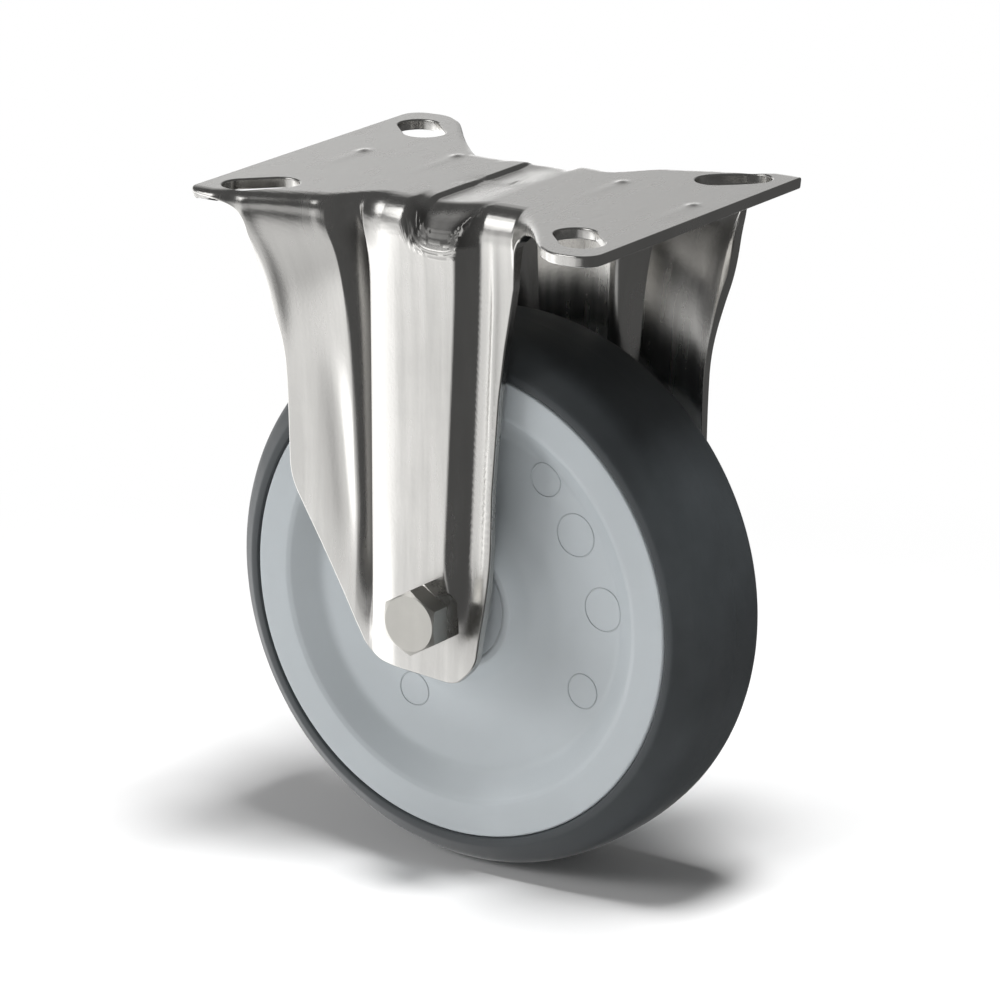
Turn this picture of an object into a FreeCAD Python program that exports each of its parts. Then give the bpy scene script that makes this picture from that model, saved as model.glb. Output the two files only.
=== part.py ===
import FreeCAD, Part
import Sketcher
import math
import os
from FreeCAD import Vector

# Fixed castor, in millimetres. The origin is the middle of the mounting plate's top face.
# X is the rolling direction, Y runs along the axle with the bolt's head at -Y, and Z points up.

os.makedirs("parts", exist_ok=True)
doc = FreeCAD.newDocument("FixedCastor")

# Driving dimensions. Depths are measured down from the plate's top, and widths along Y.
SIZES = [
    ("sheet", 2.5), ("plate_length", 106.0), ("plate_width", 88.0), ("corner_radius", 6.0),
    ("slot_inset_x", 11.5), ("slot_inset_y", 13.5), ("slot_width", 9.4), ("slot_length", 17.0),
    ("overall_height", 155.0), ("wheel_diameter", 125.0), ("wheel_width", 32.0),
    ("leg_span", 41.0), ("bulge_height", 4.7), ("bulge_left", 17.3), ("bulge_right", 9.8), ("bulge_taper", 0.04),
    ("wall_run", 2.8), ("groove", 3.4), ("shoulder", 4.2), ("foot_spread", 16.0),
    ("panel_left", 39.9), ("panel_swell", 3.7), ("panel_lean", 2.6), ("flare_depth", 15.0),
    ("flange_right", 11.0), ("root_flare", 8.6), ("taper_rise", 24.5), ("taper_radius", 16.0),
    ("edge_sweep", 60.0), ("tongue_left", 17.6), ("tongue_right", 8.4), ("tongue_drop", 15.0),
    ("tongue_tilt", 1.2), ("tongue_radius", 8.5), ("lobe_start", 1.1), ("lobe_turn", 0.012),
    ("flat_finish", 0.05), ("seat_radius", 9.0), ("channel_depth", 0.9), ("channel_left", 4.8),
    ("channel_right", 9.0), ("notch_depth", 9.6), ("notch_side", 1.6), ("notch_half", 9.2),
    ("bolt_diameter", 8.0), ("hex_flats", 13.0), ("head_height", 5.3), ("thin_nut", 4.0),
    ("nut_height", 8.0), ("bolt_play", 0.4), ("thread_beyond", 2.0),
    ("tube_outer", 12.0), ("roller_diameter", 5.0), ("roller_length", 28.0), ("roller_count", 10.0),
    ("running_play", 0.06), ("side_play", 0.6), ("boss_diameter", 36.0), ("retainer_radius", 13.0),
    ("retainer_width", 2.5), ("tread", 8.5), ("shoulder_radius", 9.0), ("rim_lip", 7.0), ("rim_step", 3.5),
    ("rim_key", 5.0), ("key_height", 1.6), ("web_half", 8.0), ("web_arc", 130.0),
]
sheet = doc.addObject("Spreadsheet::Sheet", "Sizes")
for row, (name, value) in enumerate(SIZES, 1):
    sheet.set("A%d" % row, name)
    sheet.set("B%d" % row, str(value))
    sheet.setAlias("B%d" % row, name)
doc.recompute()


def size(name):
    return float(sheet.get(name))


thick = size("sheet")
axle_depth = size("overall_height") - size("wheel_diameter") / 2
leg_plane = size("leg_span") / 2
front_plane = leg_plane + size("bulge_height")
foot_depth = axle_depth + size("tongue_drop")


def smooth(value, low, high):
    """0 below low, 1 above high, and an even S between them."""
    if low == high:
        return float(value >= high)
    k = min(1.0, max(0.0, (value - low) / (high - low)))
    return k * k * (3 - 2 * k)


# The bracket. Its outer face is one spline surface over a net of points: stations across the
# sheet run along X, and rows run from the foot of the near leg, over the plate, to the far leg's.

def flare(depth):
    """How far the wide panel stands out of the leg's plane at this depth."""
    lean = size("panel_lean")
    reach = size("plate_width") / 2 - leg_plane + 1.0
    return lean + (reach - lean) * math.exp(-max(depth - thick, 0.0) / size("flare_depth"))


def leg_face(along, depth):
    """The near leg's outer face: its distance from the middle plane at this place."""
    left = size("bulge_left") + size("foot_spread") * smooth(depth, axle_depth - thick, axle_depth + 4 * thick)
    right = size("bulge_right") - size("bulge_taper") * depth
    run = size("wall_run")
    turn = size("shoulder") * (1 + math.exp(-depth / (3 * thick)))
    panel = 1 - smooth(along, -left - size("groove") - turn, -left - size("groove"))
    bulge = smooth(along, -left - run, -left) * (1 - smooth(along, right, right + run))
    face = bulge * (size("bulge_height") + size("flat_finish"))
    top = thick * math.exp(-depth / (4 * thick))
    return leg_plane + panel * (1 - bulge) * flare(depth) + face + (1 - panel) * top


def bend_place(along):
    """Where the plate turns down into the near leg. Past the leg's root the bend runs off to the edge."""
    past = max(along - size("flange_right") - size("root_flare") + size("lobe_start"), 0.0)
    return leg_face(along, 0.0) + past * (1 + size("lobe_turn") * past)


def dent(along):
    """The share of the dent over the near leg's bend that lies at this place along the leg."""
    share = 1 - (abs(along - size("notch_side")) / size("notch_half")) ** 3
    return (share + math.sqrt(share * share + 0.02)) / 2


def plate_sink(x, y):
    """How deep the plate's top lies here: a shallow channel across it, and a dent over each leg."""
    edge = size("channel_left")
    channel = smooth(x, -edge, -edge / 2) * (1 - smooth(x, -edge / 2, size("channel_right")))
    sink = size("channel_depth") * channel * (1 - smooth(abs(y), leg_plane * 0.8, front_plane))
    for turn in (1, -1):
        deep = smooth(-turn * y, 0.7 * front_plane, front_plane + 0.8 * thick)
        sink += size("notch_depth") * dent(turn * x) * deep
    return sink


def stations():
    """Places along X for the net's columns: close together over the legs' folds, wider apart beyond."""
    folds = size("bulge_left") + size("groove") + size("shoulder")
    places = [0.0]
    while places[-1] < size("plate_length") / 2 + 2:
        spread = 1 + 1.5 * smooth(places[-1], folds, size("panel_left"))
        places.append(places[-1] + 0.85 * size("wall_run") * spread)
    return [-p for p in places[:0:-1]] + places


def depths():
    """Levels down the leg for the net's rows, closer together near the plate."""
    first = 2 * thick
    foot = foot_depth + first
    steps = 9
    return [first + (foot - first) * (k / steps) ** 1.5 for k in range(steps + 1)]


def near_column(along, turn):
    """The net's points over the near half at one station, from the plate's middle to the foot. The turn
    is -1 where the half is then turned round, so that the channel still lies in its own place."""
    bend = bend_place(along)
    points = []
    for share in (0.0, 0.25, 0.5, 0.7, 0.86, 1.0):
        out = share * bend
        corner = plate_sink(turn * along, -turn * out) - size("flat_finish")
        points.append(Vector(along, -out, -corner))
    levels = depths()
    beyond = bend - leg_face(along, 0.0)
    for depth in levels:
        level = corner + depth * (levels[-1] - corner) / levels[-1]
        points.append(Vector(along, -leg_face(along, level) - beyond, -level))
    return points


def half_turn(point):
    return Vector(-point.x, -point.y, point.z)


def outer_net():
    """Columns of points from the near foot, over the plate, to the far foot."""
    near = [near_column(place, 1) for place in stations()]
    far = [[half_turn(p) for p in near_column(-place, -1)] for place in stations()]
    return [n[::-1] + f[1:] for n, f in zip(near, far)]


def inward_net(net, distance):
    """Each point moved square to the faces that meet there, so that the walls keep their thickness."""
    rows, cols = len(net), len(net[0])
    moved = []
    for i in range(rows):
        line = []
        for j in range(cols):
            normals = []
            for di, dj in ((1, 1), (1, -1), (-1, 1), (-1, -1)):
                if 0 <= i + di < rows and 0 <= j + dj < cols:
                    a = net[i + di][j] - net[i][j]
                    b = net[i][j + dj] - net[i][j]
                    n = a.cross(b) * (di * dj)
                    normals.append(n.normalize())
            total = Vector()
            for n in normals:
                total += n
            total.normalize()
            mean = sum(n.dot(total) for n in normals) / len(normals)
            line.append(net[i][j] - total * (distance / max(mean, 0.55)))
        moved.append(line)
    return moved


def spline_face(net):
    """A spline face with clamped ends over the net, cubic each way unless two lines bound it."""
    degrees = []
    mults = []
    for count in (len(net), len(net[0])):
        degree = min(3, count - 1)
        degrees.append(degree)
        mults.append([degree + 1] + [1] * (count - degree - 1) + [degree + 1])
    knots = [[float(k) for k in range(len(m))] for m in mults]
    surface = Part.BSplineSurface()
    surface.buildFromPolesMultsKnots(net, mults[0], mults[1], knots[0], knots[1], False, False, *degrees)
    return surface.toShape()


def sheet_blank():
    """The pressed sheet before it is trimmed: two spline faces joined round their edges."""
    outer = outer_net()
    inner = inward_net(outer, thick)
    faces = [spline_face(outer), spline_face(inner)]
    for place in (0, -1):
        faces.append(spline_face([outer[place], inner[place]]))
        faces.append(spline_face([[column[place] for column in net] for net in (outer, inner)]))
    shell = Part.Shell(faces)
    shell.sewShape()
    solid = Part.Solid(shell)
    if solid.Volume < 0:
        solid.reverse()
    return solid


def outline_face(points, radii, to_vector):
    """A flat face inside a closed outline of straight runs, each corner rounded by its own radius."""
    edges = []
    ends = []
    count = len(points)
    for i, (p, r) in enumerate(zip(points, radii)):
        here = Vector(p[0], p[1], 0)
        back = Vector(*points[i - 1], 0) - here
        ahead = Vector(*points[(i + 1) % count], 0) - here
        back.normalize()
        ahead.normalize()
        half = math.acos(max(-1.0, min(1.0, back.dot(ahead)))) / 2
        reach = r / math.tan(half) if r else 0.0
        middle = (back + ahead).normalize() * (r / math.sin(half) - r) if r else Vector()
        ends.append((here + back * reach, here + middle, here + ahead * reach))
    for i, (start, middle, end) in enumerate(ends):
        if (end - start).Length > 1e-6:
            edges.append(Part.Arc(to_vector(start), to_vector(middle), to_vector(end)).toShape())
        after = ends[(i + 1) % count][0]
        edges.append(Part.LineSegment(to_vector(end), to_vector(after)).toShape())
    return Part.Face(Part.Wire(edges))


def feature(name, shape):
    item = doc.addObject("Part::Feature", name)
    item.Shape = shape
    return item


def plate_outline():
    """The plate in plan. Two opposite corners run straight into the legs; the others are free lobes."""
    x = size("plate_length") / 2
    y = size("plate_width") / 2
    corner = size("corner_radius")
    clear_y = y + 2 * thick
    panel_x = -size("panel_left")
    root_x = size("flange_right") + size("root_flare")
    bay_x = (root_x + x) / 2 - thick
    bay_y = (front_plane + y) / 2
    side = [(-x, -y), (panel_x, -y), (panel_x, -clear_y), (root_x, -clear_y), (root_x, -front_plane - thick),
            (bay_x - corner, -bay_y), (bay_x + corner, -y), (x, -y)]
    radii = [corner, 0.0, 0.0, 0.0, 0.0, 4 * corner, corner, corner]
    points = side + [(-a, -b) for a, b in side]
    return outline_face(points, radii * 2, lambda v: Vector(v.x, v.y, 1.0))


def leg_outline(turn):
    """One leg seen along the axle: wide beside the plate's edge, tapered to the tongue at the axle."""
    left = size("panel_left")
    swell = size("panel_swell")
    sweep = size("edge_sweep")
    flange = size("flange_right")
    root = size("root_flare")
    tilt = size("tongue_tilt")
    tongue = size("tongue_radius")
    points = [(-left, 1.0), (-left, -0.04 * axle_depth), (-left - swell, -0.21 * axle_depth),
              (-left, -0.4 * axle_depth), (-left, size("taper_rise") - axle_depth),
              (-size("tongue_left"), tilt - foot_depth), (size("tongue_right"), -foot_depth - tilt),
              (flange, -axle_depth), (flange + 0.4 * root, -0.45 * axle_depth),
              (flange + 0.9 * root, -0.18 * axle_depth), (flange + root, -0.06 * axle_depth), (flange + root, 1.0)]
    radii = [0.0, 0.1 * sweep, 0.3 * sweep, sweep, size("taper_radius"), tongue, tongue, sweep, sweep, sweep,
             0.1 * sweep, 0.0]
    return outline_face(points, radii, lambda v: Vector(turn * v.x, 0, v.y))


def extrusion(name, base, direction, length):
    item = doc.addObject("Part::Extrusion", name)
    item.Base = base
    item.DirMode = "Custom"
    item.Dir = direction
    item.Solid = True
    item.setExpression("LengthFwd", length)
    return item


def combine(kind, name, *items):
    item = doc.addObject(kind, name)
    if kind in ("Part::MultiFuse", "Part::MultiCommon"):
        item.Shapes = list(items)
    else:
        item.Base, item.Tool = items
    return item


def cylinder(name, radius, height, centre_y=None):
    """A round bar along Y through the axle's line, from the sheet's sizes."""
    item = doc.addObject("Part::Cylinder", name)
    item.setExpression("Radius", radius)
    item.setExpression("Height", height)
    item.Placement = FreeCAD.Placement(Vector(), FreeCAD.Rotation(Vector(1, 0, 0), -90))
    item.setExpression(".Placement.Base.z", "-(%s)" % AXLE)
    item.setExpression(".Placement.Base.y", centre_y or "-(%s) / 2" % height)
    return item


AXLE = "(Sizes.overall_height - Sizes.wheel_diameter / 2)"
FRONT = "(Sizes.leg_span / 2 + Sizes.bulge_height)"


def slot_tool(name, x_sign, y_sign):
    """One mounting slot: a straight run with round ends, set at 45 degrees towards the plate's middle."""
    run = "(Sizes.slot_length - Sizes.slot_width)"
    block = doc.addObject("Part::Box", name + "_run")
    block.setExpression("Length", run)
    block.setExpression("Width", "Sizes.slot_width")
    block.setExpression("Height", "Sizes.sheet * 4")
    block.setExpression(".Placement.Base.x", "-%s / 2" % run)
    block.setExpression(".Placement.Base.y", "-Sizes.slot_width / 2")
    ends = []
    for k, sign in enumerate(("-", "")):
        end = doc.addObject("Part::Cylinder", "%s_end_%d" % (name, k + 1))
        end.setExpression("Radius", "Sizes.slot_width / 2")
        end.setExpression("Height", "Sizes.sheet * 4")
        end.setExpression(".Placement.Base.x", "%s%s / 2" % (sign, run))
        ends.append(end)
    tool = combine("Part::MultiFuse", name, block, *ends)
    tool.Placement = FreeCAD.Placement(Vector(), FreeCAD.Rotation(Vector(0, 0, 1), 45 * x_sign * y_sign))
    tool.setExpression(".Placement.Base.x", "%d * (Sizes.plate_length / 2 - Sizes.slot_inset_x)" % x_sign)
    tool.setExpression(".Placement.Base.y", "%d * (Sizes.plate_width / 2 - Sizes.slot_inset_y)" % y_sign)
    tool.setExpression(".Placement.Base.z", "-Sizes.sheet * 2")
    return tool


def bracket():
    """The pressed sheet trimmed to its outline, coined flat on top and where the nuts sit, and pierced."""
    blank = feature("bracket_blank", sheet_blank())
    plate = extrusion("plate_prism", feature("plate_outline", plate_outline()), Vector(0, 0, -1),
                      "1 + Sizes.sheet * 1.4")
    legs = []
    for name, turn in (("near", 1), ("far", -1)):
        face = feature(name + "_leg_outline", leg_outline(turn))
        legs.append(extrusion(name + "_leg_prism", face, Vector(0, -turn, 0), "Sizes.plate_width"))
    trim = combine("Part::MultiFuse", "bracket_trim", plate, *legs)
    trimmed = combine("Part::MultiCommon", "bracket_trimmed", blank, trim)
    finish = doc.addObject("Part::Box", "top_finish")
    for side in ("Length", "Width"):
        finish.setExpression(side, "Sizes.plate_length * 2")
        finish.setExpression(".Placement.Base.%s" % ("x" if side == "Length" else "y"), "-Sizes.plate_length")
    finish.setExpression("Height", "Sizes.sheet * 4")
    holes = [slot_tool("slot_%s%s" % (a, b), sx, sy)
             for a, sx in (("l", -1), ("r", 1)) for b, sy in (("n", -1), ("f", 1))]
    holes.append(cylinder("axle_hole", "(Sizes.bolt_diameter + Sizes.bolt_play) / 2", "Sizes.plate_width"))
    for name, start in (("near", "-%s - Sizes.head_height" % FRONT), ("far", FRONT)):
        holes.append(cylinder(name + "_nut_seat", "Sizes.seat_radius", "Sizes.head_height", start))
    holes.append(cylinder("tube_seat", "(Sizes.tube_outer + Sizes.bolt_play) / 2", "2 * " + INNER, "-" + INNER))
    flat = combine("Part::Cut", "bracket_flat_topped", trimmed, finish)
    openings = combine("Part::MultiFuse", "bracket_openings", *holes)
    return combine("Part::Cut", "bracket", flat, openings)


def number(expression):
    return float(sheet.evalExpression(expression))


def revolved(label, profile, radii=None, centre="0"):
    """A turned or moulded ring about the axle. The profile gives radius and place along the axle for each
    corner, as expressions, and radii gives an arc's radius for the run that starts at a corner."""
    body = doc.addObject("PartDesign::Body", label)
    plane = next(f for f in body.Origin.OriginFeatures if f.Role == "XY_Plane")
    sketch = body.newObject("Sketcher::SketchObject", label + "_profile")
    sketch.AttachmentSupport = [(plane, "")]
    sketch.MapMode = "FlatFace"
    corners = [Vector(number(r), number(y), 0) for r, y in profile]
    count = len(corners)
    firsts = []
    for i, start in enumerate(corners):
        end = corners[(i + 1) % count]
        arc = (radii or {}).get(i)
        firsts.append(1)
        if not arc:
            sketch.addGeometry(Part.LineSegment(start, end))
            continue
        chord = end - start
        radius = number(arc)
        rise = abs(radius) - math.sqrt(max(radius * radius - chord.Length ** 2 / 4, 0.0))
        middle = (start + end) / 2 + Vector(-chord.y, chord.x, 0).normalize() * math.copysign(rise, radius)
        if radius > 0:
            sketch.addGeometry(Part.Arc(end, middle, start))
            firsts[-1] = 2
        else:
            sketch.addGeometry(Part.Arc(start, middle, end))
    for i, (r, y) in enumerate(profile):
        before = (i - 1) % count
        sketch.addConstraint(Sketcher.Constraint("Coincident", before, 3 - firsts[before], i, firsts[i]))
        for kind, expression in (("DistanceX", r), ("DistanceY", y)):
            index = sketch.addConstraint(Sketcher.Constraint(kind, -1, 1, i, firsts[i], number(expression)))
            sketch.setExpression("Constraints[%d]" % index, expression)
    for i, arc in (radii or {}).items():
        index = sketch.addConstraint(Sketcher.Constraint("Radius", i, abs(number(arc))))
        sketch.setExpression("Constraints[%d]" % index, "abs(%s)" % arc)
    turn = body.newObject("PartDesign::Revolution", label + "_turn")
    turn.Profile = sketch
    turn.ReferenceAxis = (sketch, ["V_Axis"])
    turn.Angle = 360
    body.setExpression(".Placement.Base.y", centre)
    body.setExpression(".Placement.Base.z", "-" + AXLE)
    return body


def hexagon_pad(label, height, centre, bore=None):
    """A hexagon of the given height with chamfered corners on its outer side, on a body of its own."""
    body = doc.addObject("PartDesign::Body", label)
    plane = next(f for f in body.Origin.OriginFeatures if f.Role == "XZ_Plane")
    sketch = body.newObject("Sketcher::SketchObject", label + "_hexagon")
    sketch.AttachmentSupport = [(plane, "")]
    sketch.MapMode = "FlatFace"
    reach = number("Sizes.hex_flats / sqrt(3)")
    corners = [Vector(reach * math.sin(k * math.pi / 3), reach * math.cos(k * math.pi / 3), 0) for k in range(6)]
    for k in range(6):
        sketch.addGeometry(Part.LineSegment(corners[k], corners[(k + 1) % 6]))
    circle = sketch.addGeometry(Part.Circle(Vector(), Vector(0, 0, 1), reach), True)
    sketch.addConstraint(Sketcher.Constraint("Coincident", circle, 3, -1, 1))
    for k in range(6):
        sketch.addConstraint(Sketcher.Constraint("Coincident", k, 2, (k + 1) % 6, 1))
        sketch.addConstraint(Sketcher.Constraint("PointOnObject", k, 1, circle))
        if k:
            sketch.addConstraint(Sketcher.Constraint("Equal", 0, k))
    sketch.addConstraint(Sketcher.Constraint("PointOnObject", 0, 1, -2))
    index = sketch.addConstraint(Sketcher.Constraint("Radius", circle, reach))
    sketch.setExpression("Constraints[%d]" % index, "Sizes.hex_flats / sqrt(3)")
    if bore:
        hole = sketch.addGeometry(Part.Circle(Vector(), Vector(0, 0, 1), number(bore)))
        sketch.addConstraint(Sketcher.Constraint("Coincident", hole, 3, -1, 1))
        index = sketch.addConstraint(Sketcher.Constraint("Radius", hole, number(bore)))
        sketch.setExpression("Constraints[%d]" % index, bore)
    pad = body.newObject("PartDesign::Pad", label + "_pad")
    pad.Profile = sketch
    pad.setExpression("Length", height)
    body.setExpression(".Placement.Base.y", centre)
    body.setExpression(".Placement.Base.z", "-" + AXLE)
    return body


def hex_crown(name, height, centre, outward):
    """The turned form that takes a hexagon's corners off at its free face."""
    flats = "Sizes.hex_flats / 2"
    chamfer = "Sizes.hex_flats * 0.09"
    item = revolved(name, [("0.01", "0"), ("%s * 1.3" % flats, "0"),
                           ("%s * 1.3" % flats, "(%s) - %s" % (height, chamfer)),
                           ("%s * 0.96" % flats, height), ("0.01", height)])
    if outward == "-":
        item.Placement = FreeCAD.Placement(Vector(), FreeCAD.Rotation(Vector(1, 0, 0), 180))
        item.setExpression(".Placement.Base.z", "-" + AXLE)
    item.setExpression(".Placement.Base.y", centre)
    return item


def axle_bolt():
    """Hex bolt through both legs and the tube, its head outside the near leg's thin nut."""
    seat = "(%s + Sizes.thin_nut)" % FRONT
    head = hexagon_pad("bolt_head", "Sizes.head_height", "-%s" % seat)
    crown = hex_crown("bolt_head_crown", "Sizes.head_height", "-%s" % seat, "-")
    shape = combine("Part::MultiCommon", "bolt_head_shape", head, crown)
    reach = "(%s * 2 + Sizes.thin_nut + Sizes.nut_height + Sizes.thread_beyond)" % FRONT
    shank = cylinder("bolt_shank", "Sizes.bolt_diameter / 2", reach, "-%s" % seat)
    whole = combine("Part::MultiFuse", "axle_bolt", shape, shank)
    return whole


def head_side_nut():
    """Thin nut between the bolt's head and the near leg."""
    nut = hexagon_pad("thin_nut_blank", "Sizes.thin_nut", "-%s" % FRONT, "Sizes.bolt_diameter / 2")
    crown = hex_crown("thin_nut_crown", "Sizes.thin_nut", "-%s" % FRONT, "-")
    return combine("Part::MultiCommon", "head_side_nut", nut, crown)


LOCK_RING = "Sizes.nut_height * 0.3"


def lock_nut():
    """Lock nut at the far leg: a hexagon with a round collar that holds a plastic ring."""
    height = "Sizes.nut_height - %s" % LOCK_RING
    nut = hexagon_pad("lock_nut_blank", height, FRONT + " + " + height, "Sizes.bolt_diameter / 2")
    crown = hex_crown("lock_nut_crown", height, FRONT, "")
    hexagon = combine("Part::MultiCommon", "lock_nut_hexagon", nut, crown)
    collar = revolved("lock_nut_collar", [
        ("Sizes.hex_flats * 0.4", "0"), ("Sizes.hex_flats * 0.46", "0"),
        ("Sizes.hex_flats * 0.46", LOCK_RING + " * 0.6"), ("Sizes.hex_flats * 0.41", LOCK_RING),
        ("Sizes.hex_flats * 0.4", LOCK_RING)], centre=FRONT + " + " + height)
    return combine("Part::MultiFuse", "lock_nut", hexagon, collar)


def lock_nut_insert():
    return revolved("lock_nut_insert", [
        ("Sizes.bolt_diameter / 2", "0"), ("Sizes.hex_flats * 0.4", "0"),
        ("Sizes.hex_flats * 0.4", LOCK_RING + " * 0.85"), ("Sizes.bolt_diameter / 2", LOCK_RING + " * 0.85")],
        centre=FRONT + " + Sizes.nut_height - " + LOCK_RING)


RIM = "(Sizes.wheel_diameter / 2 - Sizes.tread)"
INNER = "(%s - Sizes.sheet)" % FRONT
BORE = "(Sizes.tube_outer / 2 + Sizes.roller_diameter + Sizes.running_play * 2)"
HUB_END = "(Sizes.leg_span / 2 - Sizes.sheet - Sizes.side_play)"
RING_SEAT = "(%s - Sizes.retainer_width)" % HUB_END


def axle_tube():
    """Steel tube clamped between the legs by the bolt. The rollers run on it."""
    outer = cylinder("tube_bar", "Sizes.tube_outer / 2", "%s * 2" % INNER)
    inner = cylinder("tube_bore", "(Sizes.bolt_diameter + Sizes.bolt_play) / 2", "%s * 2" % INNER)
    return combine("Part::Cut", "axle_tube", outer, inner)


def wheel_body():
    """Moulded wheel centre: boss with the rollers' bore, dished web on both sides and a broad rim."""
    half = [(BORE, RING_SEAT), ("Sizes.retainer_radius", RING_SEAT), ("Sizes.retainer_radius", HUB_END),
            ("Sizes.boss_diameter / 2 - 0.8", HUB_END), ("Sizes.boss_diameter / 2", HUB_END + " - 0.8"),
            ("Sizes.boss_diameter / 2 + 1", "Sizes.web_half + 2"), ("Sizes.boss_diameter / 2 + 4", "Sizes.web_half"),
            (RIM + " - Sizes.rim_lip - 2.2", "Sizes.wheel_width / 2 - Sizes.rim_step"),
            (RIM + " - Sizes.rim_lip", "Sizes.wheel_width / 2 - 0.6"),
            (RIM + " - Sizes.rim_lip + 1", "Sizes.wheel_width / 2"), (RIM, "Sizes.wheel_width / 2")]
    key = [(RIM, "Sizes.rim_key"), (RIM + " + Sizes.key_height", "Sizes.rim_key")]
    side = half + key
    mirrored = [(r, "-(%s)" % y) for r, y in reversed(side)]
    last = len(side) * 2 - 1
    web = 6
    return revolved("wheel_body", side + mirrored, {web: "Sizes.web_arc", last - 1 - web: "Sizes.web_arc"})


def tyre():
    """Soft tread moulded over the rim and its key, with rounded shoulders and a slightly crowned run."""
    side = [(RIM + " + Sizes.key_height", "Sizes.rim_key"), (RIM, "Sizes.rim_key"), (RIM, "Sizes.wheel_width / 2"),
            (RIM + " + Sizes.key_height", "Sizes.wheel_width / 2 + 0.1"),
            ("Sizes.wheel_diameter / 2 - 0.5", "Sizes.wheel_width / 2 - 7")]
    mirrored = [(r, "-(%s)" % y) for r, y in reversed(side)]
    return revolved("tyre", side + mirrored, {
        3: "Sizes.shoulder_radius", 4: "Sizes.wheel_diameter * 0.65", 5: "Sizes.shoulder_radius"})


def roller_cage():
    """Plastic cage: a sleeve round the tube with one pocket for each roller."""
    inner = "(Sizes.tube_outer / 2 + Sizes.running_play + 0.5)"
    outer = "(%s - 0.5)" % BORE
    end = "(%s - 0.2)" % RING_SEAT
    sleeve = revolved("cage_sleeve", [(inner, "-" + end), (outer, "-" + end), (outer, end), (inner, end)])
    pockets = []
    for k in range(int(size("roller_count"))):
        pockets.append(roller_at("pocket_%02d" % (k + 1), k, "Sizes.roller_diameter / 2 + 0.12",
                                 "Sizes.roller_length + 0.3"))
    openings = combine("Part::MultiFuse", "cage_pockets", *pockets)
    return combine("Part::Cut", "roller_cage", sleeve, openings)


def roller_at(name, index, radius, length):
    """A bar beside the tube, at its own turn about the axle."""
    ring = "(Sizes.tube_outer / 2 + Sizes.running_play + Sizes.roller_diameter / 2)"
    turn = "%d * 360 deg / Sizes.roller_count" % index
    bar = cylinder(name, radius, length)
    bar.setExpression(".Placement.Base.x", "%s * sin(%s)" % (ring, turn))
    bar.setExpression(".Placement.Base.z", "%s * cos(%s) - %s" % (ring, turn, AXLE))
    return bar


def retainer(label, sign):
    """Plastic ring pressed in the boss's end, which keeps the rollers in."""
    inner = "(Sizes.tube_outer / 2 + 0.3)"
    outer = "Sizes.retainer_radius"
    near, far = ("-" + HUB_END, "-" + RING_SEAT) if sign < 0 else (RING_SEAT, HUB_END)
    return revolved(label, [(inner, near), (outer, near), (outer, far), (inner, far)])


ROLLERS = ["roller_%02d" % (k + 1) for k in range(int(size("roller_count")))]
parts = {
    "bracket": bracket(), "axle_bolt": axle_bolt(), "head_side_nut": head_side_nut(), "lock_nut": lock_nut(),
    "lock_nut_insert": lock_nut_insert(), "axle_tube": axle_tube(), "wheel_body": wheel_body(), "tyre": tyre(),
    "roller_cage": roller_cage(), "retainer_near": retainer("retainer_near", -1),
    "retainer_far": retainer("retainer_far", 1),
}
for index, name in enumerate(ROLLERS):
    parts[name] = roller_at(name, index, "Sizes.roller_diameter / 2", "Sizes.roller_length")
doc.recompute()

for item in doc.Objects:
    if "Invalid" in item.State or "Error" in item.State:
        raise RuntimeError("%s is not sound: %s" % (item.Name, item.State))
for name, item in parts.items():
    item.Label = name
    if item.Shape.isNull() or not item.Shape.isValid() or len(item.Shape.Solids) != 1:
        raise RuntimeError("%s has no single valid solid" % name)
for name, item in parts.items():
    item.Shape.exportStep("parts/%s.step" % name)
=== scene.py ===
import math

import bmesh
import bpy
import numpy as np
from mathutils import Matrix, Vector, geometry


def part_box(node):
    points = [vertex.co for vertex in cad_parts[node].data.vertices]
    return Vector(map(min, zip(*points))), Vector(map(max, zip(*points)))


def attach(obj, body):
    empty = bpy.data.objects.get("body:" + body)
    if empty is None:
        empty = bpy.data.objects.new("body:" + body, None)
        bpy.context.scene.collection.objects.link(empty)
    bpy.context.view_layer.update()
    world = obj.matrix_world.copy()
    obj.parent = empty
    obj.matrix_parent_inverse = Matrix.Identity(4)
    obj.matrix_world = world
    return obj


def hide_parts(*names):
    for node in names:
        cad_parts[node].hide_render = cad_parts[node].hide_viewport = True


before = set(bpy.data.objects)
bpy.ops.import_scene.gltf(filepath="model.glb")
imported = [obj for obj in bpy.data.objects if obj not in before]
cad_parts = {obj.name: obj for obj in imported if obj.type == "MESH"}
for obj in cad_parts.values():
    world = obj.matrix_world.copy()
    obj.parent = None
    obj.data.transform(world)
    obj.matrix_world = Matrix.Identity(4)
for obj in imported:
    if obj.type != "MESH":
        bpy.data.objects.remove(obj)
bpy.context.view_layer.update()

# A fixed castor: a pressed steel bracket, a plastic wheel with a soft tyre, and the bolt they turn on.
# Sizes are in millimetres until a mesh is written, which is in metres in the frame's own axes.
MM = 0.001


# The camera stands a little above the plate, to the right of the bolt's head, and looks at the middle of
# the castor through a long lens, so that its upright lines stay nearly parallel.
camera_at = Vector((713.66, -1048.03, 320.47)) * MM
camera_back = Vector((0.5372, -0.7896, 0.2964))
lens_mm = 216.0
film_mm = 36.0

camera_data = bpy.data.cameras.new("camera")
camera_data.lens = lens_mm
camera_data.sensor_width = film_mm
camera = bpy.data.objects.new("camera", camera_data)
camera.matrix_world = Matrix.Translation(camera_at) @ camera_back.to_track_quat("Z", "Y").to_matrix().to_4x4()
bpy.context.scene.collection.objects.link(camera)
bpy.context.scene.camera = camera
bpy.context.scene.view_settings.view_transform = "Standard"


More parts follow.
